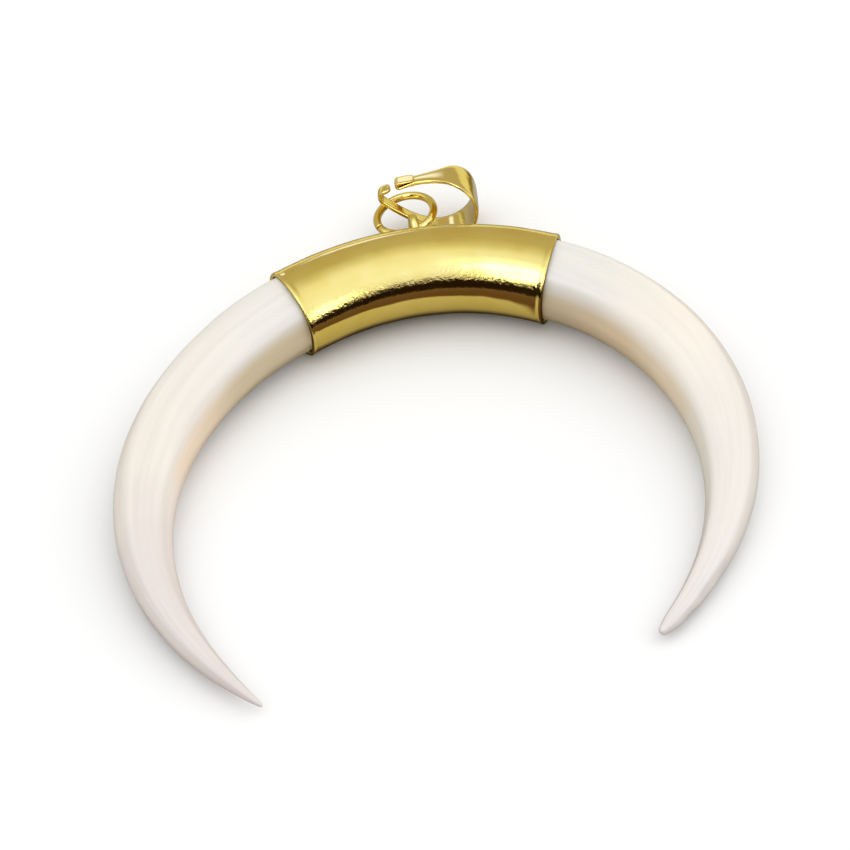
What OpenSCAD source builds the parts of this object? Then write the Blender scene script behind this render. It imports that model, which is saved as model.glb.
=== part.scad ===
// Crescent pendant of carved shell with a gold band, eye, jump ring and strap bail.
// It lies on a table: Z is up, X runs along the band, and the horns point to -Y.

/* [Crescent] */
// Overall width across the two horns, in mm
crescent_w = 60; // [50:1:75]
// Squareness of the section: 2 is an ellipse, more is squarer
section_power = 2.3; // [2:0.1:3]
// Sides of the section
section_sides = 32; // [16:4:36]
// Longest step between two sections, in mm
section_step = 1.6; // [1.4:0.1:3]

/* [Band] */
// Metal thickness of the sleeve, in mm
band_wall = 0.27; // [0.25:0.02:0.45]
// Clearance between the shell and the sleeve, in mm
band_gap = 0.08; // [0.08:0.01:0.15]
// Distance along the crescent from its middle to the sleeve's left end, in mm
band_left = 12.5; // [9:0.5:17]
// Distance along the crescent from its middle to the sleeve's right end, in mm
band_right = 13.8; // [9:0.2:17]
// Lean of the left end: how much longer the sleeve is inside than outside, in mm
left_skew = 1; // [0:0.1:3]
// Lean of the right end: how much longer the sleeve is inside than outside, in mm
right_skew = 1.4; // [0:0.1:3]
// Width of the raised rim at each end of the sleeve, in mm
rim_w = 0.6; // [0.4:0.1:1]
// Height of the rims above the sleeve, in mm
rim_h = 0.12; // [0.06:0.02:0.3]

/* [Eye] */
// Wire diameter of the eye, in mm
eye_wire = 0.8; // [0.7:0.1:1]
// Diameter of the hole in the eye, in mm
eye_hole = 1.7; // [1.6:0.1:2]
// Radius of the solder at the foot of the eye, in mm
solder_r = 1.15; // [0.9:0.05:1.3]
// Height of the solder above the sleeve, in mm
solder_h = 0.45; // [0.3:0.05:0.55]

/* [Jump ring] */
// Outer diameter of the jump ring, in mm
ring_d = 6.4; // [6.3:0.05:6.6]
// Wire diameter of the jump ring, in mm
ring_wire = 0.76; // [0.6:0.02:0.78]
// Angle of the saw cut, in degrees
ring_cut = 4; // [2:1:8]

/* [Bail] */
// Distance between the centres of the two round ends of the loop, in mm
bail_span = 5.9; // [5.7:0.1:6.4]
// Outer radius of the loop at the crown, in mm
crown_r = 3.02; // [2.9:0.02:3.1]
// Outer radius of the loop at the tip, in mm
tip_r = 0.88; // [0.86:0.02:1]
// Outer radius of the arched limbs between crown and tip, in mm
limb_r = 20.6; // [16:0.1:26]
// Width of the strap at its widest, in mm
strap_w = 5.95; // [5.5:0.05:6.2]
// Width of the strap at the tip, in mm
tongue_w = 1.6; // [1.2:0.05:1.65]
// Metal thickness of the strap, in mm
strap_wall = 0.45; // [0.4:0.05:0.5]
// Length of the folded end of the tongue, in mm
fold_l = 1.95; // [1.5:0.05:2.2]
// Opening between the folded end of the tongue and the tip of the loop, in mm
mouth_w = 0.55; // [0.3:0.05:0.6]

/* [Hidden] */
$fn = 64;

shell_white = "#f3e9dc";
gold = "#e3b23c";

// Stations of the crescent from the left tip to the right tip, for a width of 60 mm.
// S: distance along the centreline from the middle. TURN: heading, clockwise from +X.
// HALF_W: half width in the plane of the crescent. HALF_T: half thickness across it.
S = 0;
TURN = 1;
HALF_W = 2;
HALF_T = 3;
STATIONS = [
    [-67.0, -129.0, 0.16, 0.14],
    [-65.5, -127.0, 0.42, 0.38],
    [-60.0, -119.5, 1.15, 1.00],
    [-54.0, -107.5, 1.76, 1.45],
    [-42.0,  -82.0, 2.80, 2.25],
    [-30.0,  -57.0, 3.60, 2.90],
    [-18.0,  -35.5, 4.00, 3.25],
    [ -6.0,  -13.5, 4.08, 3.35],
    [  6.0,   14.5, 4.10, 3.35],
    [ 18.0,   42.5, 4.12, 3.30],
    [ 30.0,   69.5, 3.78, 3.00],
    [ 42.0,   95.0, 2.86, 2.30],
    [ 54.0,  119.5, 1.72, 1.45],
    [ 60.0,  130.5, 1.15, 1.00],
    [ 63.5,  136.5, 0.82, 0.72],
    [ 65.2,  139.5, 0.36, 0.32]
];
stations_w = 60;
size = crescent_w / stations_w;
last = len(STATIONS) - 1;
s_min = STATIONS[0][S];
s_max = STATIONS[last][S];

// Smooth curve through one column of the stations
function row_at(s, i = 0) = i >= last - 1 || s < STATIONS[i + 1][S] ? i : row_at(s, i + 1);
function slope(i, c) =
    let (a = STATIONS[max(i - 1, 0)], b = STATIONS[min(i + 1, last)])
    (b[c] - a[c]) / (b[S] - a[S]);
function curve(s, c) =
    let (i = row_at(s), a = STATIONS[i], b = STATIONS[i + 1], h = b[S] - a[S], u = (s - a[S]) / h)
    (a[c] * (1 + 2 * u) + slope(i, c) * h * u) * (1 - u) ^ 2
    + (b[c] * (3 - 2 * u) + slope(i + 1, c) * h * (u - 1)) * u ^ 2;

// Centreline, walked out from the middle in short steps
walk_step = 0.25;
function heading(s) = [cos(curve(s, TURN)), -sin(curve(s, TURN))];
function walk(to, dir) =
    [for (s = 0, p = [0, 0]; abs(s) <= abs(to) + walk_step;
        p = p + dir * walk_step * heading(s + dir * walk_step / 2), s = s + dir * walk_step)
        [s, p.x, p.y]];
centreline = concat(walk(s_min, -1), walk(s_max, 1));
centre_x = [for (q = centreline) [q[0], q[1]]];
centre_y = [for (q = centreline) [q[0], q[2]]];

// One section at s, with its outline moved out by some millimetres. The skew moves its inner
// edge on along the crescent and its outer edge back by half of that length.
function power(v) = sign(v) * abs(v) ^ (2 / section_power);
function on_skin(s, out, across, up) =
    let (turn = curve(s, TURN), v = across * (size * curve(s, HALF_W) + out))
    [size * lookup(s, centre_x) + v * sin(turn),
     size * lookup(s, centre_y) + v * cos(turn),
     up * (size * curve(s, HALF_T) + out)];
function section(s, out, skew = 0) =
    [for (j = [0:section_sides - 1])
        let (a = 360 * j / section_sides, across = power(cos(a)))
        on_skin(s - across * skew / 2, out, across, power(sin(a)))];

// Faces between n sections, one after the other; a closed skin joins the last to the first
function sides(n, closed) =
    [for (i = [0:(closed ? n - 1 : n - 2)], j = [0:section_sides - 1])
        let (a = i * section_sides, b = (i + 1) % n * section_sides, q = (j + 1) % section_sides)
        each [[a + j, b + j, b + q], [a + j, b + q, a + q]]];

// Stops along the crescent
function even(a, b) = let (n = ceil((b - a) / section_step)) [for (i = [0:n]) a + (b - a) * i / n];
function inner(list) = [for (i = [1:len(list) - 2]) list[i]];
tip_steps = [0, 0.4, 1, 2];
tip_zone = 3.5;
shell_stops = concat(
    [for (d = tip_steps) s_min + d],
    even(s_min + tip_zone, -band_left),
    inner(even(-band_left, band_right)),
    even(band_right, s_max - tip_zone),
    [for (i = [len(tip_steps) - 1:-1:0]) s_max - tip_steps[i]]
);

// Profile of the sleeve as stops and distances out from the shell: outside, then inside
band_out = band_gap + band_wall;
rim_out = band_out + rim_h;
sleeve_stops = inner(even(-band_left, band_right));
sleeve = concat(
    [[-band_left, rim_out], [-band_left + rim_w / 2, rim_out], [-band_left + rim_w, band_out]],
    [for (s = sleeve_stops) [s, band_out]],
    [[band_right - rim_w, band_out], [band_right - rim_w / 2, rim_out], [band_right, rim_out]],
    [[band_right, band_gap]],
    [for (i = [len(sleeve_stops) - 1:-1:0]) [sleeve_stops[i], band_gap]],
    [[-band_left, band_gap]]
);

function skew_at(s) =
    let (u = (s + band_left) / (band_left + band_right))
    right_skew * u - left_skew * (1 - u);

// The crescent leans forward on the table, on its sleeve and both horns
lean = 3.3;
function leaned(points) =
    [for (p = points) [p.x, p.y * cos(lean) - p.z * sin(lean), p.y * sin(lean) + p.z * cos(lean)]];
shell_points = leaned([for (s = shell_stops) each section(s, 0)]);
sleeve_points = leaned([for (q = sleeve) each section(q[0], q[1], skew_at(q[0]))]);
table_z = min([for (p = concat(shell_points, sleeve_points)) p.z]);

// Eye on the outer edge of the sleeve, with its hole along the sleeve
eye_s = 1.4;
eye_sink = 0.2;
eye_r = eye_hole / 2 + eye_wire;
eye_foot_y = size * (lookup(eye_s, centre_y) + curve(eye_s, HALF_W)) + band_out;
eye_at = [size * lookup(eye_s, centre_x), eye_foot_y + eye_r - eye_sink, -table_z];

// Jump ring: its near side runs through the eye and it goes around the tip of the bail
ring_r = (ring_d - ring_wire) / 2;
ring_slack = [-0.4, 0.18, -0.6];
ring_turn = [-5, -10, 0];
ring_at = eye_at + [0, ring_r, 0] + ring_slack;

// Bail: a strap bent into a drop-shaped loop, with its crown on the table and its narrow tip
// held up by the jump ring. Side view: two arched limbs between a large and a small round end.
function rot_x(a) = [[1, 0, 0], [0, cos(a), -sin(a)], [0, sin(a), cos(a)]];
function rot_y(a) = [[cos(a), 0, sin(a)], [0, 1, 0], [-sin(a), 0, cos(a)]];
function rot_z(a) = [[cos(a), -sin(a), 0], [sin(a), cos(a), 0], [0, 0, 1]];
bail_turn = [-17.1, 10.9, -10.3];
bail_shift = [4.23, 0.64];
bail_spin = rot_z(bail_turn.z) * rot_y(bail_turn.y) * rot_x(bail_turn.x);
limb_x = ((limb_r - tip_r) ^ 2 - (limb_r - crown_r) ^ 2 - bail_span ^ 2) / (2 * bail_span);
limb_drop = sqrt((limb_r - crown_r) ^ 2 - limb_x ^ 2);
crown_join = atan2(limb_drop, -limb_x);
tip_join = atan2(limb_drop, -bail_span - limb_x);
arc_step = 3;
loop_top = concat(
    [for (a = [0:arc_step:crown_join]) [crown_r * cos(a), crown_r * sin(a)]],
    [for (a = [crown_join:arc_step:tip_join])
        [limb_x + limb_r * cos(a), limb_r * sin(a) - limb_drop]]
);

// Folded end: radius of its rounded ends, and its place on the limb
fold_r = 0.39;
fold_angle = 113.6;
fold_sink = 0.1;

// Half width of the strap: a leaf at the crown, a hollow neck and a straight tongue
leaf_x = 3.1;
leaf_r = 5.9;
neck_r = 6;
leaf_y = strap_w / 2 - leaf_r;
neck_y = tongue_w / 2 + neck_r;
neck_x = leaf_x - sqrt((leaf_r + neck_r) ^ 2 - (neck_y - leaf_y) ^ 2);
join_x = leaf_x - (leaf_x - neck_x) * leaf_r / (leaf_r + neck_r);
function strap_half(x) =
    x < neck_x ? tongue_w / 2 :
    x < join_x ? neck_y - sqrt(neck_r ^ 2 - (x - neck_x) ^ 2) :
    leaf_y + sqrt(leaf_r ^ 2 - (x - leaf_x) ^ 2);
bail_rim = [for (p = loop_top, up = [-p.y, p.y], side = [-1, 1])
    bail_spin * [p.x, side * strap_half(p.x), up]];
bail_clear = 0.05;
bail_low = min([for (p = bail_rim) p.z]);
bail_at = [ring_at.x + bail_shift.x, ring_at.y + bail_shift.y, bail_clear - bail_low];

// Origin at the middle of the bounding box, on the table
shell_x = [for (p = shell_points) p.x];
shell_y = [for (p = shell_points) p.y];
far_y = bail_at.y + max([for (p = bail_rim) p.y]);
origin = [(min(shell_x) + max(shell_x)) / 2, (min(shell_y) + far_y) / 2, 0];

module shell_crescent() {
    n = len(shell_stops);
    start = [for (j = [0:section_sides - 1]) j];
    end = [for (j = [section_sides - 1:-1:0]) (n - 1) * section_sides + j];
    color(shell_white)
        translate([0, 0, -table_z] - origin)
            polyhedron(points = shell_points, faces = concat([start, end], sides(n, false)));
}

module band() {
    color(gold)
        translate(-origin) {
            translate([0, 0, -table_z])
                polyhedron(points = sleeve_points, faces = sides(len(sleeve), true));
            eye();
            solder();
        }
}

module eye() {
    translate(eye_at)
        rotate([0, 90, 0])
            wire_ring(eye_hole / 2 + eye_wire / 2, eye_wire);
}

module solder() {
    translate([eye_at.x, eye_foot_y - eye_sink, eye_at.z])
        rotate([-90, 0, 0])
            cylinder(r1 = solder_r, r2 = solder_r / 2, h = solder_h + eye_sink);
}

module wire_ring(radius, wire, cut = 0) {
    rotate([0, 0, cut / 2])
        rotate_extrude(angle = 360 - cut)
            translate([radius, 0])
                circle(d = wire);
}

module jump_ring() {
    cut_side = 200;
    color(gold)
        translate(ring_at - origin)
            rotate(ring_turn)
                rotate([0, 0, cut_side])
                    wire_ring(ring_r, ring_wire, ring_cut);
}

// Side view of the loop, with its outline drawn in by some millimetres
module loop_outline(in) {
    arc_r = limb_r - in;
    crown_end = limb_x + arc_r * cos(crown_join);
    tip_end = limb_x + arc_r * cos(tip_join);
    intersection() {
        translate([limb_x, -limb_drop]) circle(r = arc_r);
        translate([limb_x, limb_drop]) circle(r = arc_r);
        translate([tip_end, -2 * crown_r]) square([crown_end - tip_end, 4 * crown_r]);
    }
    circle(r = crown_r - in);
    translate([-bail_span, 0]) circle(r = tip_r - in);
}

// Flat view of the strap
module leaf_outline() {
    join_y = strap_half(join_x);
    tongue_x = -bail_span - 2 * tip_r;
    intersection() {
        translate([leaf_x, leaf_y]) circle(r = leaf_r);
        translate([leaf_x, -leaf_y]) circle(r = leaf_r);
    }
    difference() {
        translate([neck_x, -join_y]) square([leaf_x - neck_x, 2 * join_y]);
        translate([neck_x, -neck_y]) circle(r = neck_r);
        translate([neck_x, neck_y]) circle(r = neck_r);
    }
    translate([tongue_x, -tongue_w / 2]) square([leaf_x - tongue_x, tongue_w]);
}

// Side view of the folded end of the tongue, across and along the limb
module fold_outline() {
    square([2 * fold_r, fold_l - 2 * fold_r], center = true);
    translate([0, fold_l / 2 - fold_r]) circle(r = fold_r);
    translate([0, fold_r - fold_l / 2]) circle(r = fold_r);
}

// The strap is cut back under the rounded end of the fold
module mouth() {
    cut_w = mouth_w + fold_r;
    mouth_angle = fold_angle + (fold_l - fold_r + mouth_w) / 2 / limb_r * 180 / PI;
    translate([limb_x, 0, -limb_drop])
        rotate([0, -mouth_angle, 0])
            translate([limb_r - strap_wall / 2, 0, 0])
                cube([2 * strap_wall, strap_w, cut_w], center = true);
}

module bail() {
    color(gold)
        translate(bail_at - origin)
            rotate(bail_turn) {
                difference() {
                    intersection() {
                        rotate([90, 0, 0])
                            linear_extrude(height = 2 * strap_w, center = true)
                                difference() {
                                    loop_outline(0);
                                    loop_outline(strap_wall);
                                }
                        linear_extrude(height = 4 * crown_r, center = true)
                            leaf_outline();
                    }
                    mouth();
                }
                translate([limb_x, 0, -limb_drop])
                    rotate([0, -fold_angle, 0])
                        translate([limb_r - fold_sink, 0, 0])
                            rotate([90, 0, 0])
                                linear_extrude(height = tongue_w, center = true)
                                    fold_outline();
            }
}

shell_crescent();
band();
jump_ring();
bail();
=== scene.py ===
"""Looks of the crescent pendant: carved shell, gold band with its eye, jump ring and strap bail.

Laid out as an add-on: each piece has its settings, its operator and its line in one panel.
Settings and scene are in metres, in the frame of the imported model. The shapes are worked out in
mm, and grid_mesh turns them to metres. The pendant lies on the floor, as in the photo.
"""

import math

import bmesh
import bpy
import numpy as np
from bpy.props import FloatProperty, PointerProperty, StringProperty
from bpy.types import Operator, Panel, PropertyGroup
from mathutils import Matrix, Vector, noise


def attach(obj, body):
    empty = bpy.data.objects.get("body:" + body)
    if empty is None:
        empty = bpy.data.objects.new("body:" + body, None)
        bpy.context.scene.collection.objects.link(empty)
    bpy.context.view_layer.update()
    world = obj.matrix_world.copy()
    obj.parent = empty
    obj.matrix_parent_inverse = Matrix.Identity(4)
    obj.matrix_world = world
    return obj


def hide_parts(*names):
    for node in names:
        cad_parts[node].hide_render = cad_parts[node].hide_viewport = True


bl_info = {
    "name": "Crescent pendant",
    "version": (1, 0, 0),
    "blender": (4, 5, 0),
    "location": "3D View > Sidebar > Pendant",
    "description": "Builds a carved shell crescent with a gold band, jump ring and strap bail",
    "category": "Add Mesh",
}

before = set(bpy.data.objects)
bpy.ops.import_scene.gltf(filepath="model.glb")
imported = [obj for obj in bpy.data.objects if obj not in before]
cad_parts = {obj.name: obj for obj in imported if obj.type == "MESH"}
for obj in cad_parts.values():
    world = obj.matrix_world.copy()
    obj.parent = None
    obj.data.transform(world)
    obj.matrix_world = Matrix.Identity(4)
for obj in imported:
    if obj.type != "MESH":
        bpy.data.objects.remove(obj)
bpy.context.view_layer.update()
MM = 0.001
BODY = "root"

# Stations of the crescent from the left tip to the right tip, in mm: distance along the
# centreline, heading in degrees clockwise from +X, half width and half thickness.
STATIONS = np.array([
    (-67.0, -129.0, 0.16, 0.14),
    (-65.5, -127.0, 0.42, 0.38),
    (-60.0, -119.5, 1.15, 1.00),
    (-54.0, -107.5, 1.76, 1.45),
    (-42.0, -82.0, 2.80, 2.25),
    (-30.0, -57.0, 3.60, 2.90),
    (-18.0, -35.5, 4.00, 3.25),
    (-6.0, -13.5, 4.08, 3.35),
    (6.0, 14.5, 4.10, 3.35),
    (18.0, 42.5, 4.12, 3.30),
    (30.0, 69.5, 3.78, 3.00),
    (42.0, 95.0, 2.86, 2.30),
    (54.0, 119.5, 1.72, 1.45),
    (60.0, 130.5, 1.15, 1.00),
    (63.5, 136.5, 0.82, 0.72),
    (65.2, 139.5, 0.36, 0.32),
])
S_MIN, S_MAX = STATIONS[0, 0], STATIONS[-1, 0]
WALK_STEP = 0.05
# Power of the section's outline: 2 is an ellipse, and more is squarer
SECTION_POWER = 2.3
# The crescent leans down to its tips. The origin of the frame is on the table, given here in mm
# from the middle of the centreline.
LEAN = math.radians(3.3)
TABLE_Z = -4.025
ORIGIN = np.array((-2.117, -18.0305, TABLE_Z))


# Shape of the crescent


def through(column):
    """Smooth curve through one column of the stations."""
    s, v = STATIONS[:, 0], STATIONS[:, column]
    lo, hi = np.maximum(np.arange(len(s)) - 1, 0), np.minimum(np.arange(len(s)) + 1, len(s) - 1)
    slope = (v[hi] - v[lo]) / (s[hi] - s[lo])

    def at(x):
        x = np.asarray(x, float)
        i = np.clip(np.searchsorted(s, x, side="right") - 1, 0, len(s) - 2)
        h = s[i + 1] - s[i]
        u = (x - s[i]) / h
        return ((v[i] * (1 + 2 * u) + slope[i] * h * u) * (1 - u) ** 2
                + (v[i + 1] * (3 - 2 * u) + slope[i + 1] * h * (u - 1)) * u ** 2)

    return at


turn, half_w, half_t = through(1), through(2), through(3)


def walk():
    """Centreline as arrays of distance, x and y, with its middle at the origin."""
    s = np.arange(S_MIN - 1, S_MAX + 1 + WALK_STEP, WALK_STEP)
    a = np.radians(turn(s + WALK_STEP / 2))
    x = np.concatenate([[0], np.cumsum(WALK_STEP * np.cos(a))[:-1]])
    y = np.concatenate([[0], np.cumsum(-WALK_STEP * np.sin(a))[:-1]])
    return s, x - np.interp(0, s, x), y - np.interp(0, s, y)


LINE_S, LINE_X, LINE_Y = walk()


def placed(s, out_by, up_by):
    """Points beside the centreline: out_by in its plane and up_by across it, in mm."""
    a = np.radians(turn(s))
    x = np.interp(s, LINE_S, LINE_X) + out_by * np.sin(a)
    y = np.interp(s, LINE_S, LINE_Y) + out_by * np.cos(a)
    z = np.broadcast_to(up_by, x.shape)
    return np.stack([x, y * math.cos(LEAN) - z * math.sin(LEAN),
                     y * math.sin(LEAN) + z * math.cos(LEAN)], -1) - ORIGIN


def fitted(x, y, height):
    """Place of a fitting in mm: x and y from the middle of the centreline, z from the table."""
    return np.array((x, y, height)) - ORIGIN * (1, 1, 0)


def circle(sides):
    """Angles once around, without the last."""
    return np.linspace(0, 2 * math.pi, sides, endpoint=False)


def squared(v, power=2 / SECTION_POWER):
    """Cosine or sine raised to a power under 1, which squares off a round section."""
    return np.sign(v) * np.abs(v) ** power


def rounded_end(distance, length, least):
    """Share of the full width near an end: a quarter round that rises from least to 1."""
    d = np.clip(distance / length, 0, 1)
    return least + (1 - least) * np.sqrt(1 - (1 - d) ** 2)


# Shift of the noise from one seed to the next
SEED_STEP = (7.3, 3.1, 5.7)
# How far the waver is sunk, as a share of its height
SUNK = 0.8


def ripple(points, size, seed):
    """Smooth noise of about -1 to 1 at each point, with bumps about size mm across."""
    step = Vector([seed * v for v in SEED_STEP])
    flat = np.asarray(points).reshape(-1, 3) / size
    found = [noise.noise(Vector(p) + step) for p in flat]
    return np.array(found).reshape(np.asarray(points).shape[:-1]) * 2


def hand_waver(points, coarse, fine, share, seed):
    """Waver of hand work from coarse and fine bumps, sunk so that it stays inside the solid.
    The bumps are sized in mm, and share is the part of the coarse ones."""
    bumps = ripple(points, coarse, seed) * share + ripple(points, fine, seed + 1) * (1 - share)
    return bumps - SUNK


# Meshes


def grid_mesh(name, rows, closed_rows=False, carve=None):
    """Mesh of closed rings of points, either joined from last to first or with both ends capped
    by a fan. The vectors of carve are kept at the points for the material."""
    count, sides = rows.shape[:2]
    points = rows.reshape(-1, 3) * MM
    ring = np.arange(sides)
    pairs = list(zip(ring, np.roll(ring, -1)))
    faces = []
    for i in range(count if closed_rows else count - 1):
        a, b = i * sides, (i + 1) % count * sides
        faces += [(a + j, b + j, b + k, a + k) for j, k in pairs]
    hubs = []
    if not closed_rows:
        for first, flip in ((0, False), ((count - 1) * sides, True)):
            hub = len(points) + len(hubs)
            hubs.append(points[first:first + sides].mean(0))
            for j, k in pairs:
                faces.append((first + k, hub, first + j) if flip else (first + j, hub, first + k))
    mesh = bpy.data.meshes.new(name)
    mesh.from_pydata([tuple(p) for p in points] + [tuple(p) for p in hubs], [], faces)
    if carve is not None:
        layer = mesh.attributes.new("carve", "FLOAT_VECTOR", "POINT")
        flat = carve.reshape(-1, 3)
        whole = np.concatenate([flat, flat[:1], flat[-1:]])[:len(mesh.vertices)]
        layer.data.foreach_set("vector", whole.astype(np.float32).ravel())
    return mesh


def join(name, meshes):
    """One mesh from several, all smooth, with its faces turned outward."""
    bm = bmesh.new()
    for mesh in meshes:
        bm.from_mesh(mesh)
        bpy.data.meshes.remove(mesh)
    bmesh.ops.recalc_face_normals(bm, faces=bm.faces)
    whole = bpy.data.meshes.new(name)
    bm.to_mesh(whole)
    bm.free()
    whole.shade_smooth()
    return whole


def add_piece(name, mesh, material, node):
    """The piece stands for its CAD node and rides on the pendant's one body."""
    piece = bpy.data.objects.new(name, mesh)
    bpy.context.scene.collection.objects.link(piece)
    piece.data.materials.append(material)
    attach(piece, BODY)
    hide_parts(node)
    return piece


WIRE_SIDES = 28
# How far the edge of a cut end is rounded off in mm, and the share of it at its middle ring
CUT_ROUND, CUT_MIDDLE = 0.06, 0.3


def swept_ring(centre, turned, radius, wire, start, sweep, around):
    """Round wire bent to an arc, in mm, with the edges of its cut ends rounded off."""
    closed = sweep >= 360
    a = np.radians(np.linspace(start, start + sweep, around, endpoint=not closed))
    thick = np.full(around, wire / 2)
    if not closed:
        fine = np.degrees(CUT_ROUND / radius)
        inner = np.linspace(start + fine, start + sweep - fine, around)
        a = np.radians(np.concatenate([[start, start + fine * CUT_MIDDLE], inner,
                                       [start + sweep - fine * CUT_MIDDLE, start + sweep]]))
        edge = [wire / 2 - CUT_ROUND, wire / 2 - CUT_ROUND * CUT_MIDDLE]
        thick = np.concatenate([edge, thick, edge[::-1]])
    b = circle(WIRE_SIDES)
    reach = radius + thick[:, None] * np.cos(b)
    flat = np.stack([reach * np.cos(a)[:, None], reach * np.sin(a)[:, None],
                     np.broadcast_to(thick[:, None] * np.sin(b), reach.shape)], -1)
    rows = flat @ np.array(turned).T + centre
    return grid_mesh("wire", rows, closed_rows=closed)


def turned_by(x, y, z):
    """Rotation about X, then Y, then Z, in degrees."""
    turn_x, turn_y, turn_z = (Matrix.Rotation(math.radians(v), 3, axis)
                              for v, axis in ((x, "X"), (y, "Y"), (z, "Z")))
    return turn_z @ turn_y @ turn_x


# Materials


def linear(code):
    """sRGB hex value as a linear colour."""
    channels = [int(code.lstrip("#")[i:i + 2], 16) / 255 for i in (0, 2, 4)]
    return tuple(c / 12.92 if c <= 0.04045 else ((c + 0.055) / 1.055) ** 2.4
                 for c in channels) + (1.0,)


def add_node(tree, kind, settings=None, links=None, **properties):
    """Adds a node with its properties, its input values and its links."""
    node = tree.nodes.new(kind)
    for key, value in properties.items():
        setattr(node, key, value)
    for key, value in (settings or {}).items():
        node.inputs[key].default_value = value
    for key, source in (links or {}).items():
        tree.links.new(source, node.inputs[key])
    return node


def ramp(node, stops, blend="EASE"):
    """Sets the stops of a colour ramp from pairs of place and hex colour."""
    band = node.color_ramp
    band.interpolation = blend
    while len(band.elements) < len(stops):
        band.elements.new(0.5)
    for element, (place, code) in zip(band.elements, stops):
        element.position = place
        element.color = linear(code)
    return node.outputs["Color"]


def new_material(name):
    """Material with an empty node tree, and the tree."""
    material = bpy.data.materials.new(name)
    material.use_nodes = True
    tree = material.node_tree
    tree.nodes.clear()
    return material, tree


# Patches in the shell, and how far they shift its colours, as a share of the crescent's length
PATCH_SIZE, PATCH_SHIFT = 9 * MM, 0.16
STREAK_LENGTH_MM, STREAK_GAP_MM = 15, 1.0
# Half width and half thickness of a thick part of the crescent, across which streaks are counted
SECTION_HALF_MM = (4.0, 3.2)
POLISH_GRAIN = 0.5 * MM
POLISH_DEPTH = 0.006 * MM


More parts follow.
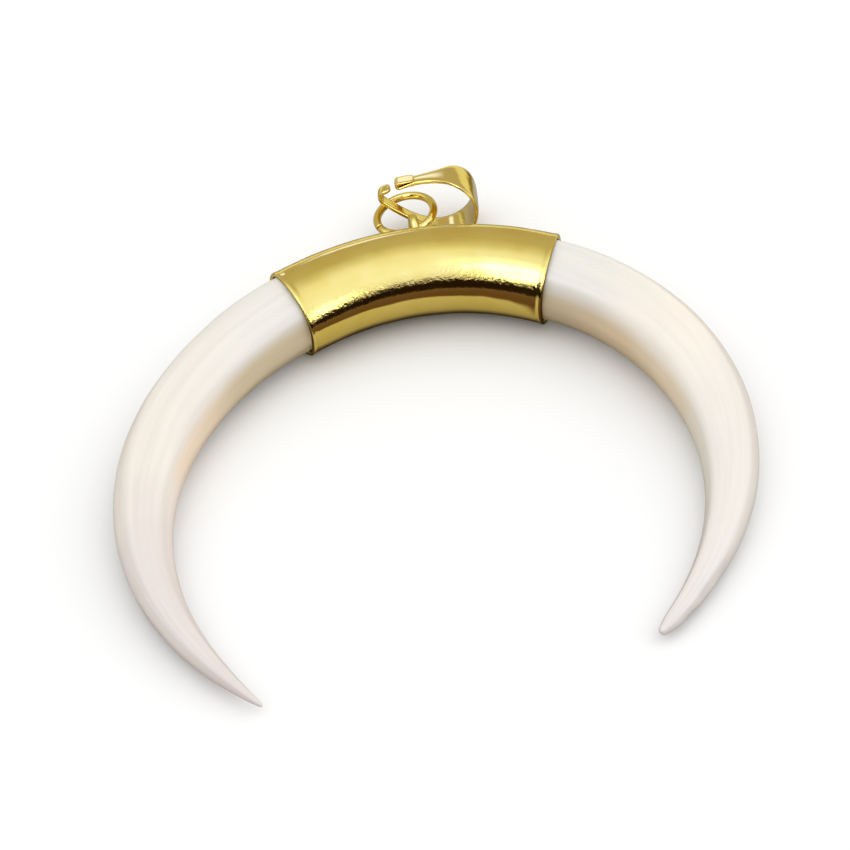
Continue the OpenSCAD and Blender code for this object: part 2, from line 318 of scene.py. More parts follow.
def carved_shell():
    """Carved and hand-polished shell. Layers of aragonite scatter the light, so it looks like dense
    cream with a soft gloss, greyer to the thin tips and peach low on the inner side, where the
    colour is also darkened as painted shade."""
    material, tree = new_material("hand_polished_shell")
    # The carve vector is mm along the crescent, then -1 to 1 across and up its section
    place = add_node(tree, "ShaderNodeAttribute", attribute_name="carve")
    part = add_node(tree, "ShaderNodeSeparateXYZ", links={"Vector": place.outputs["Vector"]})
    along = add_node(tree, "ShaderNodeMapRange",
                     {"From Min": S_MIN, "From Max": S_MAX}, {"Value": part.outputs["X"]})
    where = add_node(tree, "ShaderNodeTexCoord")
    # Patches where the layers lie deeper shift the colours along the horn
    patch = add_node(tree, "ShaderNodeTexNoise", {
        "Scale": 1 / PATCH_SIZE, "Detail": 2.0, "Roughness": 0.5},
        {"Vector": where.outputs["Object"]})
    shifted = add_node(tree, "ShaderNodeMath", {1: PATCH_SHIFT, 2: -PATCH_SHIFT / 2},
                       {0: patch.outputs["Fac"]}, operation="MULTIPLY_ADD")
    stop = add_node(tree, "ShaderNodeMath", None,
                    {0: along.outputs["Result"], 1: shifted.outputs[0]}, operation="ADD")
    top = ramp(add_node(tree, "ShaderNodeValToRGB", links={"Fac": stop.outputs[0]}), (
        (0.0, "#ddd4cf"), (0.12, "#e6ddd6"), (0.26, "#f0e9dd"), (0.38, "#ebe7df"),
        (0.62, "#eae7df"), (0.72, "#f4ecdf"), (0.86, "#ede7de"), (1.0, "#e8e3dd")))
    # Inner colours: the shell's own peach and beige, made darker as painted shade
    inner = ramp(add_node(tree, "ShaderNodeValToRGB", links={"Fac": stop.outputs[0]}), (
        (0.0, "#dcd4cf"), (0.14, "#e8dcd4"), (0.21, "#f2e6da"), (0.28, "#f8e2c8"),
        (0.36, "#e0cfac"), (0.6, "#cebc9a"), (0.7, "#dfc7a4"), (0.78, "#e8d8bc"),
        (0.86, "#eae4d6"), (1.0, "#dcd4cc")))
    # The inner colours start beside the top face and are full low on the inner side. They are
    # darker than the top: partly the shell's own peach and partly painted shade.
    side = add_node(tree, "ShaderNodeMapRange", {"From Min": -0.35, "From Max": -0.9},
                    {"Value": part.outputs["Y"]}, interpolation_type="SMOOTHSTEP")
    under = add_node(tree, "ShaderNodeMapRange", {"From Min": 0.85, "From Max": 0.35},
                     {"Value": part.outputs["Z"]}, interpolation_type="SMOOTHSTEP")
    inside = add_node(tree, "ShaderNodeMath", None, {
        0: side.outputs["Result"], 1: under.outputs["Result"]}, operation="MULTIPLY")
    both = add_node(tree, "ShaderNodeMix", None,
                    {"Factor": inside.outputs[0], "A": top, "B": inner}, data_type="RGBA")
    # Growth layers cut lengthwise leave faint streaks along the horn
    drawn = add_node(tree, "ShaderNodeVectorMath", {
        1: (1 / STREAK_LENGTH_MM, *(half / STREAK_GAP_MM for half in SECTION_HALF_MM))},
        {0: place.outputs["Vector"]}, operation="MULTIPLY")
    layers = add_node(tree, "ShaderNodeTexNoise", {"Scale": 1.0, "Detail": 3.0, "Distortion": 0.4},
                      {"Vector": drawn.outputs["Vector"]})
    faint = add_node(tree, "ShaderNodeMapRange", {
        "From Min": 0.3, "From Max": 0.7, "To Min": 0.94, "To Max": 1.02},
        {"Value": layers.outputs["Fac"]})
    grey = add_node(tree, "ShaderNodeCombineColor", None, {
        channel: faint.outputs["Result"] for channel in ("Red", "Green", "Blue")})
    colour = add_node(tree, "ShaderNodeMix", {"Factor": 1.0}, {
        "A": both.outputs["Result"], "B": grey.outputs["Color"]},
        data_type="RGBA", blend_type="MULTIPLY")
    # Marks of the file and the polishing wheel
    marks = add_node(tree, "ShaderNodeTexNoise", {"Scale": 1 / POLISH_GRAIN, "Detail": 3.0},
                     {"Vector": where.outputs["Object"]})
    gloss = add_node(tree, "ShaderNodeMapRange", {"To Min": 0.3, "To Max": 0.42},
                     {"Value": marks.outputs["Fac"]})
    bump = add_node(tree, "ShaderNodeBump", {"Strength": 0.35, "Distance": POLISH_DEPTH},
                    {"Height": marks.outputs["Fac"]})
    surface = add_node(tree, "ShaderNodeBsdfPrincipled", {
        "IOR": 1.56, "Subsurface Weight": 0.3, "Subsurface Radius": (1.0, 0.72, 0.55),
        "Subsurface Scale": 0.9 * MM}, {
        "Base Color": colour.outputs["Result"], "Roughness": gloss.outputs["Result"],
        "Normal": bump.outputs["Normal"]})
    add_node(tree, "ShaderNodeOutputMaterial", None, {"Surface": surface.outputs["BSDF"]})
    return material


PLATE_PATCH = 3 * MM


def plated_gold(name, grain_size, grain_depth):
    """Bright gold electroplated over brass. It mirrors what is around it, and the grain of the
    metal under the plate breaks up the edges of its reflections on the upper faces."""
    material, tree = new_material(name)
    where = add_node(tree, "ShaderNodeTexCoord")
    grain = add_node(tree, "ShaderNodeTexNoise", {
        "Scale": 1 / grain_size, "Detail": 3.0, "Roughness": 0.55},
        {"Vector": where.outputs["Object"]})
    # The thickness of the plate varies, and its colour and gloss with it
    plate = add_node(tree, "ShaderNodeTexNoise", {"Scale": 1 / PLATE_PATCH, "Detail": 2.0},
                     {"Vector": where.outputs["Object"]})
    tint = ramp(add_node(tree, "ShaderNodeValToRGB", links={"Fac": plate.outputs["Fac"]}),
                ((0.3, "#f0d46a"), (0.7, "#f4da76")))
    gloss = add_node(tree, "ShaderNodeMapRange", {"To Min": 0.07, "To Max": 0.14},
                     {"Value": plate.outputs["Fac"]})
    # The lower faces and the very top were buffed smoother than the sloping upper faces
    side = add_node(tree, "ShaderNodeNewGeometry")
    facing = add_node(tree, "ShaderNodeSeparateXYZ", links={"Vector": side.outputs["Normal"]})
    rough = ramp(add_node(tree, "ShaderNodeValToRGB", links={"Fac": facing.outputs["Z"]}), (
        (0.3, "#282828"), (0.5, "#d0d0d0"), (0.62, "#ffffff"), (0.78, "#e0e0e0"), (0.9, "#484848")))
    bump = add_node(tree, "ShaderNodeBump", {"Distance": grain_depth}, {
        "Strength": rough, "Height": grain.outputs["Fac"]})
    surface = add_node(tree, "ShaderNodeBsdfPrincipled", {"Metallic": 1.0}, {
        "Base Color": tint, "Roughness": gloss.outputs["Result"],
        "Normal": bump.outputs["Normal"]})
    add_node(tree, "ShaderNodeOutputMaterial", None, {"Surface": surface.outputs["BSDF"]})
    return material


# Settings


class ShellSettings(PropertyGroup):
    """Carving of the crescent."""
    facet: FloatProperty(
        name="Facet", description="How deep the hand-ground faces cut into the round section",
        default=0.045, min=0, max=0.12, subtype="FACTOR")
    edge: FloatProperty(
        name="Edge", description="How sharp the edges between the ground faces are",
        default=26, min=8, max=60)
    waver: FloatProperty(
        name="Waver", description="Unevenness left by hand grinding",
        default=0.035 * MM, min=0, max=0.1 * MM, unit="LENGTH")


class BandSettings(PropertyGroup):
    """Sleeve of gold-plated metal around the middle of the crescent."""
    left: FloatProperty(
        name="Left end", description="Distance along the crescent to the left end",
        default=12.5 * MM, unit="LENGTH")
    right: FloatProperty(
        name="Right end", description="Distance along the crescent to the right end",
        default=13.8 * MM, unit="LENGTH")
    height: FloatProperty(
        name="Height", description="Outer face of the sleeve above the shell",
        default=0.34 * MM, unit="LENGTH")
    rim: FloatProperty(
        name="Rim", description="Height of the raised rim at each end",
        default=0.05 * MM, unit="LENGTH")
    waver: FloatProperty(
        name="Waver", description="Unevenness of the sleeve under the plate",
        default=0.022 * MM, min=0, max=0.06 * MM, unit="LENGTH")


class RingSettings(PropertyGroup):
    """Jump ring through the eye of the band."""
    outer: FloatProperty(
        name="Outer diameter", description="Outer diameter of the jump ring",
        default=6.4 * MM, unit="LENGTH")
    wire: FloatProperty(
        name="Wire", description="Diameter of the wire", default=0.76 * MM, unit="LENGTH")
    cut: FloatProperty(
        name="Saw cut", description="Angle of the gap in the ring",
        default=math.radians(4), subtype="ANGLE")


class BailSettings(PropertyGroup):
    """Strap bent to a loop that the chain runs through."""
    span: FloatProperty(
        name="Span", description="Distance between the middles of the two round ends",
        default=5.9 * MM, min=5 * MM, max=8 * MM, unit="LENGTH")
    strap: FloatProperty(
        name="Strap width", description="Widest part of the strap",
        default=5.95 * MM, unit="LENGTH")
    tongue: FloatProperty(
        name="Tongue width", description="Width of the strap at its tip",
        default=1.6 * MM, unit="LENGTH")
    wall: FloatProperty(
        name="Thickness", description="Thickness of the strap", default=0.45 * MM, unit="LENGTH")


class StageSettings(PropertyGroup):
    """Floor, light and camera."""
    light: FloatProperty(
        name="Light", description="Strength of the soft light", default=1.0, min=0, max=4)
    lens: FloatProperty(
        name="Lens", description="Focal length on a 36 mm wide sensor",
        default=182 * MM, unit="LENGTH")
    roll: FloatProperty(
        name="Roll", description="Turn of the camera about its own axis",
        default=math.radians(-4.6), subtype="ANGLE")
    floor: StringProperty(
        name="Floor", description="Colour of the floor as an sRGB hex value", default="#f8f8f7")


# Shell crescent

# Ground faces of the section: the way each one faces, in degrees from the outer edge over the
# top, and how deep it cuts as a share of the facet setting
GROUND_FACES = ((28, 0.7), (92, 0.8), (152, 1.2), (205, 0.9), (270, 0.7), (325, 0.7))
# The faces turn to and fro along the crescent: by how much, over how many mm for each radian of
# the wave, and how far the wave of the next face is shifted
FACE_DRIFT, DRIFT_LENGTH, DRIFT_SHIFT = math.radians(6), 11, 1.7
SHELL_SIDES, SHELL_RINGS = 96, 400
# Closer rings at each tip, in mm from it, and where the even ones start
TIP_RINGS = np.array([0, 0.02, 0.06, 0.12, 0.2, 0.3, 0.45, 0.65])
EVEN_FROM = 0.9
TIP_ROUND, TIP_LEAST = 0.3, 0.25
# Half width at which the hand's waver is full, and its least share toward the tips
WAVER_FULL, WAVER_LEAST = 4, 0.15
# Chipped outer edge near the right tip
CHIP_AT, CHIP_LENGTH, CHIP_DEPTH, CHIP_GRAIN = 59, 4, 0.09, 1.3


def ground_section(angle, s, facet, edge):
    """The section's two coordinates, -1 to 1, with its ground faces."""
    across, up = squared(np.cos(angle)), squared(np.sin(angle))
    dual = SECTION_POWER / (SECTION_POWER - 1)
    total = np.ones_like(across * s)
    for k, (facing, share) in enumerate(GROUND_FACES):
        a = math.radians(facing) + FACE_DRIFT * np.sin(s / DRIFT_LENGTH + DRIFT_SHIFT * k)
        nx, ny = np.cos(a), np.sin(a)
        support = (np.abs(nx) ** dual + np.abs(ny) ** dual) ** (1 / dual)
        reach = np.maximum((across * nx + up * ny) / support / (1 - facet * share), 0)
        total = total + reach ** edge
    shrink = total ** (-1 / edge)
    return across * shrink, up * shrink


class PENDANT_OT_shell(Operator):
    """Carve the crescent of shell"""
    bl_idname = "pendant.shell"
    bl_label = "Shell crescent"

    def execute(self, context):
        p = context.scene.pendant_shell
        s = np.concatenate([
            S_MIN + TIP_RINGS, np.linspace(S_MIN + EVEN_FROM, S_MAX - EVEN_FROM, SHELL_RINGS),
            S_MAX - TIP_RINGS[::-1]])[:, None]
        a = circle(SHELL_SIDES)[None, :]
        across, up = ground_section(a, s, p.facet, p.edge)
        blunt = rounded_end(np.minimum(s - S_MIN, S_MAX - s), TIP_ROUND, TIP_LEAST)
        w, t = half_w(s) * blunt, half_t(s) * blunt
        smooth = placed(s + 0 * a, across * w, up * t)
        inward = p.waver / MM * np.clip(w / WAVER_FULL, WAVER_LEAST, 1) * hand_waver(
            smooth, coarse=7, fine=3, share=0.7, seed=1)
        chip = np.exp(-((s - CHIP_AT) / CHIP_LENGTH) ** 2) * np.clip(across, 0, 1) ** 2
        inward = inward - CHIP_DEPTH * chip * (1 + ripple(smooth, CHIP_GRAIN, seed=3))
        rows = placed(s + 0 * a, across * (w + inward), up * (t + inward))
        carve = np.stack([s + 0 * a, across, up], -1)
        mesh = join("shell", [grid_mesh("shell", rows, carve=carve)])
        piece = add_piece("carved_shell", mesh, carved_shell(), "shell_crescent")
        # The dark streak mirrored in the band runs to its ends, with no horn in it
        piece.visible_glossy = False
        return {"FINISHED"}


# Band and eye

SLEEVE_SIDES, SLEEVE_RINGS, INNER_RINGS = 128, 150, 40
SLEEVE_GAP = 0.02
RIM_ROUND = 0.13
# Where the plain outside and the plain inside of the sleeve start, in mm from each end
OUTSIDE_FROM, INSIDE_FROM = 0.85, 0.3
# How far each end of the sleeve leans along the crescent, from outside the bend to inside it,
# with plus to the right: the sleeve is longer inside at both ends
LEAN_RIGHT, LEAN_LEFT = 1.4, -1.0
EYE_AT = fitted(1.399, 5.851, 4.025)
EYE_WIRE, EYE_HOLE = 0.8, 1.7
# Solder collar: radius at its foot and at the wire, height, how hollow its curve is, and how far
# it runs up the wire
SOLDER_R, SOLDER_TOP_R, SOLDER_H, SOLDER_HOLLOW, SOLDER_UP = 1.1, 0.38, 0.62, 2.4, 0.02
SOLDER_RINGS, SOLDER_SIDES = 14, 40


def end_lean(s, left, right):
    """Slant of the sleeve's rings, which changes evenly from its left to its right end."""
    u = (s + left) / (left + right)
    return LEAN_RIGHT * u + LEAN_LEFT * (1 - u)


def sleeve_profile(left, right, high, rim):
    """Distance along and height above the shell, from the left end over the outside to the
    right end and back inside."""
    top = high + rim
    # The rim at the left end is 0.7 mm wide with rounded edges, and the right one mirrors it
    bead = np.array([(0.0, SLEEVE_GAP), (0.0, top - RIM_ROUND), (0.04, top - 0.05),
                     (RIM_ROUND, top), (0.28, top), (0.42, high + rim * 0.75),
                     (0.55, high + rim * 0.25), (0.7, high)])
    plain = np.linspace(-left + OUTSIDE_FROM, right - OUTSIDE_FROM, SLEEVE_RINGS)
    inside = np.linspace(right - INSIDE_FROM, -left + INSIDE_FROM, INNER_RINGS)
    return np.concatenate([
        bead + (-left, 0), np.stack([plain, np.full(SLEEVE_RINGS, high)], 1),
        (bead * (-1, 1) + (right, 0))[::-1],
        np.stack([inside, np.full(INNER_RINGS, SLEEVE_GAP)], 1)])


def solder_collar():
    """Rings of the collar, which runs up from the sleeve to the wire in a hollow curve."""
    h = np.linspace(0, 1, SOLDER_RINGS)[:, None]
    b = circle(SOLDER_SIDES)[None, :]
    reach = SOLDER_TOP_R + (SOLDER_R - SOLDER_TOP_R) * (1 - h) ** SOLDER_HOLLOW
    foot_y = EYE_AT[1] - EYE_HOLE / 2 - EYE_WIRE + SOLDER_UP
    return np.stack([EYE_AT[0] + reach * np.cos(b), foot_y + SOLDER_H * h + 0 * b,
                     EYE_AT[2] + reach * np.sin(b)], -1)


class PENDANT_OT_band(Operator):
    """Form the gold band with its rims, and solder on the eye"""
    bl_idname = "pendant.band"
    bl_label = "Band and eye"

    def execute(self, context):
        p = context.scene.pendant_band
        left, right, high, rim = (v / MM for v in (p.left, p.right, p.height, p.rim))
        profile = sleeve_profile(left, right, high, rim)
        s0, out = profile[:, :1], profile[:, 1:]
        a = circle(SLEEVE_SIDES)[None, :]
        across, up = squared(np.cos(a)), squared(np.sin(a))
        s = s0 - across * end_lean(s0, left, right) / 2
        smooth = placed(s, across * (half_w(s) + out), up * (half_t(s) + out))
        # The waver fades out toward the shell
        outer = np.clip((out - SLEEVE_GAP) / (high - SLEEVE_GAP), 0, 1)
        out = out + p.waver / MM * outer * hand_waver(
            smooth, coarse=4.5, fine=1.8, share=0.6, seed=4)
        rows = placed(s, across * (half_w(s) + out), up * (half_t(s) + out))
        sleeve = grid_mesh("sleeve", rows, closed_rows=True)
        eye = swept_ring(EYE_AT, turned_by(0, 90, 0), EYE_HOLE / 2 + EYE_WIRE / 2, EYE_WIRE,
                         0, 360, around=72)
        mesh = join("band", [sleeve, eye, grid_mesh("solder", solder_collar())])
        gold = plated_gold("gold_plate_on_cast_band", 0.32 * MM, 0.045 * MM)
        add_piece("gold_band", mesh, gold, "band")
        return {"FINISHED"}


# Jump ring

RING_AT = fitted(0.999, 8.851, 3.425)
RING_TURN = (-5, -10, 0)
# Where the saw cut lies, in degrees around the ring
CUT_AT = 200


class PENDANT_OT_ring(Operator):
    """Bend the jump ring that joins the eye and the bail"""
    bl_idname = "pendant.ring"
    bl_label = "Jump ring"

    def execute(self, context):
        p = context.scene.pendant_ring
        wire = p.wire / MM
        cut = math.degrees(p.cut)
        mesh = join("ring", [swept_ring(
            RING_AT, turned_by(*RING_TURN), (p.outer / MM - wire) / 2, wire,
            CUT_AT + cut / 2, 360 - cut, around=160)])
        gold = plated_gold("gold_plate_on_drawn_wire", 0.6 * MM, 0.02 * MM)
        add_piece("round_jump_ring", mesh, gold, "jump_ring")
        return {"FINISHED"}


# Bail

BAIL_AT = fitted(5.229, 9.491, 3.662)
BAIL_TURN = (-17.1, 10.9, -10.3)
# Outer radii of the side view and of the flat view of the strap, in mm
CROWN_R, TIP_R, LIMB_R = 3.02, 0.88, 20.6
LEAF_X, LEAF_R, NECK_R = 3.1, 5.9, 6.0
# Folded end of the tongue: where it lies on the limb in degrees, its length, the radius of the
# fold, how far it sinks into the limb and how far its free end dips
FOLD_ANGLE, FOLD_L, FOLD_R, FOLD_SINK, FOLD_DIP = 113.6, 1.95, 0.39, 0.1, 0.1
# Thickness of the folded leaf as a share of the fold's radius, and of its free end as a share
# of the leaf
FOLD_WALL, FREE_WALL = 0.8, 0.6
# Open mouth between the fold and the tip of the strap, and how thin the tip is
MOUTH_W, TIP_WALL = 0.55, 0.8
# The cut ends are rounded over this length in mm, from this share of the width
STRAP_ROUND, STRAP_LEAST = 0.35, 0.55
STRAP_SIDES = 48
# Powers that make the section a flat bar with rounded edges, and its crown outside in mm
FLAT_POWER, EDGE_POWER, STRAP_CROWN = 0.28, 0.5, 0.05


def strap_half(x, strap, tongue):
    """Half width of the strap: a leaf at the crown, a hollow neck and a straight tongue."""
    leaf_y, neck_y = strap / 2 - LEAF_R, tongue / 2 + NECK_R
    neck_x = LEAF_X - math.sqrt((LEAF_R + NECK_R) ** 2 - (neck_y - leaf_y) ** 2)
    join_x = LEAF_X - (LEAF_X - neck_x) * LEAF_R / (LEAF_R + NECK_R)
    leaf = leaf_y + np.sqrt(np.maximum(LEAF_R ** 2 - (x - LEAF_X) ** 2, 0))
    neck = neck_y - np.sqrt(np.maximum(NECK_R ** 2 - (x - neck_x) ** 2, 0))
    return np.where(x < neck_x, tongue / 2, np.where(x < join_x, neck, leaf))


def loop_path(span, wall):
    """Middle line of the strap in its side view: places, ways outward and thickness, from the
    folded end of the tongue over the crown and back along the floor to the tip."""
    limb_x = ((LIMB_R - TIP_R) ** 2 - (LIMB_R - CROWN_R) ** 2 - span ** 2) / (2 * span)
    drop = math.sqrt((LIMB_R - CROWN_R) ** 2 - limb_x ** 2)
    crown_join, tip_join = math.atan2(drop, -limb_x), math.atan2(drop, -span - limb_x)
    fold, half_fold = math.radians(FOLD_ANGLE), FOLD_L / 2 / LIMB_R
    mouth = fold + half_fold + MOUTH_W / LIMB_R
    leaf = FOLD_R * FOLD_WALL
    bend = FOLD_R - leaf / 2
    hub_r = LIMB_R - FOLD_SINK
    hub = fold + half_fold - FOLD_R / LIMB_R
    line = LIMB_R - wall / 2
    spots = []

    def arc(x, z, a0, a1, count, radius, thick, side=1):
        """One arc of the path; radius and thick are pairs, at its start and its end."""
        for a, r, w in zip(*(np.linspace(*ends, count) for ends in ((a0, a1), radius, thick))):
            spots.append((x + r * math.cos(a), z + r * math.sin(a),
                          side * math.cos(a), side * math.sin(a), w))

    # Folded leaf from its free end, the fold, and the way down to the upper limb
    arc(limb_x, -drop, fold - half_fold, hub, 24, (hub_r + bend - FOLD_DIP, hub_r + bend),
        (leaf * FREE_WALL, leaf), -1)
    arc(limb_x + hub_r * math.cos(hub), -drop + hub_r * math.sin(hub), hub, hub + math.pi, 20,
        (bend, bend), (leaf, leaf), -1)
    arc(limb_x, -drop, hub, fold - half_fold, 24, (hub_r - bend, line), (leaf, wall))
    # Upper limb, crown, lower limb, narrow end and tip
    arc(limb_x, -drop, fold - half_fold, crown_join, 30, (line, line), (wall, wall))
    arc(0, 0, crown_join, -crown_join, 70, (CROWN_R - wall / 2,) * 2, (wall, wall))
    arc(limb_x, drop, -crown_join, -tip_join, 50, (line, line), (wall, wall))
    arc(-span, 0, 2 * math.pi - tip_join, tip_join, 36, (TIP_R - wall / 2,) * 2, (wall, wall))
    arc(limb_x, -drop, tip_join, mouth, 6, (line, line), (wall, wall * TIP_WALL))
    path = np.array(spots)
    # Points where two arcs meet are kept once
    apart = np.linalg.norm(np.diff(path[:, :2], axis=0), axis=1)
    return path[np.concatenate([[True], apart > 1e-6])]


class PENDANT_OT_bail(Operator):
    """Bend the leaf-shaped strap into the bail, with its tongue folded over"""
    bl_idname = "pendant.bail"
    bl_label = "Bail"

    def execute(self, context):
        p = context.scene.pendant_bail
        span, strap, tongue, wall = (v / MM for v in (p.span, p.strap, p.tongue, p.wall))
        path = loop_path(span, wall)
        steps = np.linalg.norm(np.diff(path[:, :2], axis=0), axis=1)
        run = np.concatenate([[0], np.cumsum(steps)])
        half = strap_half(path[:, 0], strap, tongue) * rounded_end(
            np.minimum(run, run[-1] - run), STRAP_ROUND, STRAP_LEAST)
        b = circle(STRAP_SIDES)
        flat, deep = squared(np.cos(b), FLAT_POWER), squared(np.sin(b), EDGE_POWER)
        lift = path[:, 4:5] / 2 * deep - STRAP_CROWN * flat ** 2 * (deep > 0)
        local = np.stack([path[:, 0:1] + path[:, 2:3] * lift, half[:, None] * flat,
                          path[:, 1:2] + path[:, 3:4] * lift], -1)
        rows = local @ np.array(turned_by(*BAIL_TURN)).T + BAIL_AT
        mesh = join("bail", [grid_mesh("bail", rows)])
        gold = plated_gold("gold_plate_on_bent_strap", 0.7 * MM, 0.04 * MM)
        add_piece("strap_bail", mesh, gold, "bail")
        return {"FINISHED"}


# Floor, light and camera

BOARD_R = 1.5
CAMERA_AT = Vector((-33.19, -278.858, 285.6)) * MM
LOOK_AT = Vector((0.0, -1.378, 3.0)) * MM
NEAREST, FARTHEST = 0.01, 20
# Lamps behind the tent, as the metal mirrors them: the way to each, the cosines at its edge and
# at its full strength, and the light that it adds there
LAMPS = (
    ((-0.30, 0.0, 0.95), 0.93, 0.995, "#8890ac"),
    ((-0.40, -0.18, 0.90), 0.935, 0.975, "#dcdcec"),
    ((-0.53, -0.45, 0.72), 0.965, 0.985, "#f0f0ff"),
    ((0.60, -0.52, 0.61), 0.972, 0.996, "#ffffff"),
    ((0.02, 0.99, 0.15), 0.9955, 0.9994, "#8a9ce6"),
)
MIRRORED_LIGHT = 2.6
# Dark flag in front, as the metal mirrors it: where its soft edge hangs, from 0 behind over 0.5
# overhead to 1 in front, how it slants to the right, and the stretch of X over which its left
# end is turned in, and how far
FLAG_EDGE, FLAG_FULL, FLAG_SLANT = 0.785, 0.813, -0.06
TURN_FROM, TURN_TO, TURNED_IN = -0.5, -0.66, 0.2
# Light on the matt faces: from the tent, and at the middle of the softbox
TENT_LIGHT, SOFTBOX_LIGHT = 1.36, 2.26
# The way to the softbox, and the cosines at its edge and at its full strength
SOFTBOX_WAY, SOFTBOX_EDGE, SOFTBOX_FULL = (0.78, 0.58, 0.24), 0.5, 0.95


def soft_world(strength):
    """Soft light from a tent over the table. What the metal mirrors and what lights the matt
    faces are graded apart, as lamps, flags and a softbox do in a studio."""
    world = bpy.data.worlds.new("soft_tent")
    world.use_nodes = True
    tree = world.node_tree
    tree.nodes.clear()
    way = add_node(tree, "ShaderNodeTexCoord")
    part = add_node(tree, "ShaderNodeSeparateXYZ", links={"Vector": way.outputs["Generated"]})
    back = add_node(tree, "ShaderNodeMath", None, {0: part.outputs["Z"], 1: part.outputs["Y"]},
                    operation="ARCTAN2")
    # 0 at the horizon behind the pendant, 0.5 overhead, 1 at the horizon in front
    turned = add_node(tree, "ShaderNodeMath", {1: math.pi}, {0: back.outputs[0]},
                      operation="DIVIDE")
    # The flag in front hangs lower on the right, and is turned in at its left end
    slanted = add_node(tree, "ShaderNodeMath", {1: FLAG_SLANT}, {
        0: part.outputs["X"], 2: turned.outputs[0]}, operation="MULTIPLY_ADD")
    turned_in = add_node(tree, "ShaderNodeMapRange", {
        "From Min": TURN_FROM, "From Max": TURN_TO, "To Max": TURNED_IN},
        {"Value": part.outputs["X"]}, interpolation_type="SMOOTHSTEP")
    hung = add_node(tree, "ShaderNodeMath", None, {
        0: slanted.outputs[0], 1: turned_in.outputs["Result"]}, operation="ADD")
    flag = add_node(tree, "ShaderNodeMapRange", {"From Min": FLAG_EDGE, "From Max": FLAG_FULL},
                    {"Value": hung.outputs[0]})
    mirrored = ramp(add_node(tree, "ShaderNodeValToRGB", links={"Fac": slanted.outputs[0]}), (
        (0.0, "#7a7368"), (0.12, "#7c7770"), (0.25, "#817e79"), (0.29, "#92949a"),
        (0.35, "#a6acc6"), (0.43, "#acb5de"), (0.60, "#aebaeb"), (0.70, "#a9b1da"),
        (0.785, "#9597ac")), "LINEAR")
    for lamp_way, edge, full, light in LAMPS:
        facing = add_node(tree, "ShaderNodeVectorMath", {1: Vector(lamp_way).normalized()},
                          {0: way.outputs["Generated"]}, operation="DOT_PRODUCT")
        lobe = add_node(tree, "ShaderNodeMapRange", {"From Min": edge, "From Max": full},
                        {"Value": facing.outputs["Value"]}, interpolation_type="SMOOTHSTEP")
        mirrored = add_node(tree, "ShaderNodeMix", {"B": linear(light)}, {
            "Factor": lobe.outputs["Result"], "A": mirrored},
            data_type="RGBA", blend_type="ADD").outputs["Result"]
    flagged = add_node(tree, "ShaderNodeMix", {"B": linear("#110804")}, {
        "Factor": flag.outputs["Result"], "A": mirrored}, data_type="RGBA")
    gloss = add_node(tree, "ShaderNodeBackground", {"Strength": MIRRORED_LIGHT},
                     {"Color": flagged.outputs["Result"]})
    lit = ramp(add_node(tree, "ShaderNodeValToRGB", links={"Fac": turned.outputs[0]}), (
        (0.0, "#8c8c8c"), (0.25, "#c8c8c8"), (0.5, "#ffffff"), (0.70, "#f4f4f4"),
        (0.84, "#a2a2a2"), (1.0, "#585858")))
    # A softbox behind on the right lights the outer edge of that horn
    aside = add_node(tree, "ShaderNodeVectorMath", {1: Vector(SOFTBOX_WAY).normalized()},
                     {0: way.outputs["Generated"]}, operation="DOT_PRODUCT")
    boxed = add_node(tree, "ShaderNodeMapRange", {
        "From Min": SOFTBOX_EDGE, "From Max": SOFTBOX_FULL,
        "To Min": TENT_LIGHT * strength, "To Max": SOFTBOX_LIGHT * strength},
        {"Value": aside.outputs["Value"]}, interpolation_type="SMOOTHSTEP")
    soft = add_node(tree, "ShaderNodeBackground", None, {
        "Color": lit, "Strength": boxed.outputs["Result"]})
    # The camera sees the white that the photo was cut out on
    plain = add_node(tree, "ShaderNodeBackground", {
        "Color": linear("#fcfcfc"), "Strength": 1.0})
    seen = add_node(tree, "ShaderNodeLightPath")
    both = add_node(tree, "ShaderNodeMixShader", None, {
        "Fac": seen.outputs["Is Glossy Ray"], 1: soft.outputs[0], 2: gloss.outputs[0]})
    whole = add_node(tree, "ShaderNodeMixShader", None, {
        "Fac": seen.outputs["Is Camera Ray"], 1: both.outputs[0], 2: plain.outputs[0]})
    add_node(tree, "ShaderNodeOutputWorld", None, {"Surface": whole.outputs[0]})
    return world


# Slanted line across the board, where its painted reflection in the gold turns to dark painted
# shade toward the front: slope of the line, and the two sides of the soft edge
FRONT_SLOPE, FRONT_DARK, FRONT_PALE = -0.6, 2.4 * MM, 3.6 * MM
# Middle of the rings of painted shade and painted highlights that the gold sees on the board, and
# how far they reach
PAINTED_RINGS_AT, PAINTED_RINGS_REACH = (2.1 * MM, -6.6 * MM, 0), 70 * MM


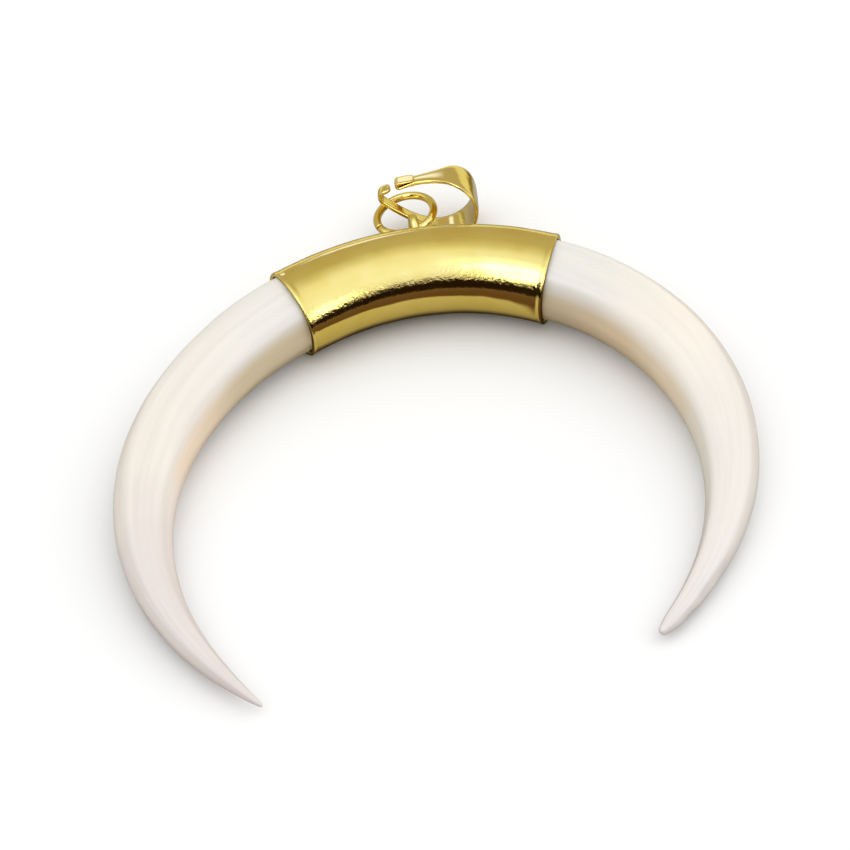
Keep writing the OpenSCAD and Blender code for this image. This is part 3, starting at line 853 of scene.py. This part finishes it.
def pale_floor(code):
    """Matt pale board, which gives back half of the light it gets. What the gold mirrors of it is a
    painted reflection: painted shade, dark in front of the band and in the contact line under it,
    and painted shade and painted highlights again behind the pendant."""
    material, tree = new_material("pale_board")
    where = add_node(tree, "ShaderNodeTexCoord")
    part = add_node(tree, "ShaderNodeSeparateXYZ", links={"Vector": where.outputs["Object"]})
    slant = add_node(tree, "ShaderNodeMath", {1: FRONT_SLOPE}, {
        0: part.outputs["X"], 2: part.outputs["Y"]}, operation="MULTIPLY_ADD")
    near = add_node(tree, "ShaderNodeMapRange", {"From Min": FRONT_DARK, "From Max": FRONT_PALE},
                    {"Value": slant.outputs[0]}, interpolation_type="SMOOTHSTEP")
    away = add_node(tree, "ShaderNodeVectorMath", {1: PAINTED_RINGS_AT},
                    {0: where.outputs["Object"]}, operation="DISTANCE")
    span = add_node(tree, "ShaderNodeMapRange", {"From Max": PAINTED_RINGS_REACH},
                    {"Value": away.outputs["Value"]})
    # Painted shade and painted highlights in rings around the pendant: a grey pool near it, a dark
    # contact line under the band, and dark and pale patches behind it
    rings = ramp(add_node(tree, "ShaderNodeValToRGB", links={"Fac": span.outputs["Result"]}), (
        (0.0, "#c8c4bc"), (0.28, "#c4c0b8"), (0.3, "#6a5c48"), (0.312, "#4a3c2c"),
        (0.335, "#8c8478"), (0.429, "#b4b0a8"), (0.536, "#a49c90"), (0.61, "#b0b4b8"),
        (0.64, "#8a8050"), (0.665, "#776420"), (0.70, "#785e10"), (0.735, "#b8a860"),
        (0.78, "#dcd8a0"), (0.86, "#e4e2b8")), "LINEAR")
    # Painted shade in front of the band: this dark brown shows only in the gold's reflection
    painted_reflection = add_node(tree, "ShaderNodeMix", {"A": linear("#58371e")}, {
        "Factor": near.outputs["Result"], "B": rings}, data_type="RGBA")
    # Glossy rays see the painted reflection, and the camera sees the plain pale board
    seen = add_node(tree, "ShaderNodeLightPath")
    bounce = add_node(tree, "ShaderNodeMix", {"A": linear(code), "B": linear("#c9c6c2")},
                      {"Factor": seen.outputs["Is Diffuse Ray"]}, data_type="RGBA")
    tone = add_node(tree, "ShaderNodeMix", None, {
        "Factor": seen.outputs["Is Glossy Ray"], "A": bounce.outputs["Result"],
        "B": painted_reflection.outputs["Result"]}, data_type="RGBA")
    surface = add_node(tree, "ShaderNodeBsdfPrincipled", {"Roughness": 0.9},
                       {"Base Color": tone.outputs["Result"]})
    add_node(tree, "ShaderNodeOutputMaterial", None, {"Surface": surface.outputs["BSDF"]})
    return material


class PENDANT_OT_stage(Operator):
    """Set up the floor, the light and the camera"""
    bl_idname = "pendant.stage"
    bl_label = "Floor, light and camera"

    def execute(self, context):
        p = context.scene.pendant_stage
        scene = context.scene
        bm = bmesh.new()
        bmesh.ops.create_circle(bm, cap_ends=True, segments=96, radius=BOARD_R)
        mesh = bpy.data.meshes.new("board")
        bm.to_mesh(mesh)
        bm.free()
        floor = bpy.data.objects.new("board", mesh)
        floor.data.materials.append(pale_floor(p.floor))
        scene.collection.objects.link(floor)
        scene.world = soft_world(p.light)
        camera = bpy.data.objects.new("camera", bpy.data.cameras.new("camera"))
        camera.data.lens = p.lens / MM
        camera.data.clip_start, camera.data.clip_end = NEAREST, FARTHEST
        camera.location = CAMERA_AT
        aim = (LOOK_AT - CAMERA_AT).to_track_quat("-Z", "Y").to_matrix()
        camera.rotation_euler = (aim @ Matrix.Rotation(p.roll, 3, "Z")).to_euler()
        scene.collection.objects.link(camera)
        scene.camera = camera
        scene.view_settings.view_transform = "Standard"
        return {"FINISHED"}


# Each piece in building order: its settings, its operator and where the scene keeps the settings
PIECES = (
    (ShellSettings, PENDANT_OT_shell, "pendant_shell"),
    (BandSettings, PENDANT_OT_band, "pendant_band"),
    (RingSettings, PENDANT_OT_ring, "pendant_ring"),
    (BailSettings, PENDANT_OT_bail, "pendant_bail"),
    (StageSettings, PENDANT_OT_stage, "pendant_stage"),
)


class PENDANT_PT_panel(Panel):
    """Pieces of the pendant, in the order in which they are built"""
    bl_label = "Crescent pendant"
    bl_idname = "PENDANT_PT_panel"
    bl_space_type = "VIEW_3D"
    bl_region_type = "UI"
    bl_category = "Pendant"

    def draw(self, context):
        for _, operator, kept_as in PIECES:
            box = self.layout.box()
            box.operator(operator.bl_idname)
            settings = getattr(context.scene, kept_as)
            for name in settings.bl_rna.properties.keys():
                if name not in ("rna_type", "name"):
                    box.prop(settings, name)


def register():
    for settings, operator, kept_as in PIECES:
        bpy.utils.register_class(settings)
        bpy.utils.register_class(operator)
        setattr(bpy.types.Scene, kept_as, PointerProperty(type=settings))
    bpy.utils.register_class(PENDANT_PT_panel)


def unregister():
    bpy.utils.unregister_class(PENDANT_PT_panel)
    for settings, operator, kept_as in PIECES:
        delattr(bpy.types.Scene, kept_as)
        bpy.utils.unregister_class(operator)
        bpy.utils.unregister_class(settings)


def main():
    """Builds the pendant and its stage."""
    register()
    bpy.ops.pendant.shell()
    bpy.ops.pendant.band()
    bpy.ops.pendant.ring()
    bpy.ops.pendant.bail()
    bpy.ops.pendant.stage()


if __name__ == "__main__":
    main()
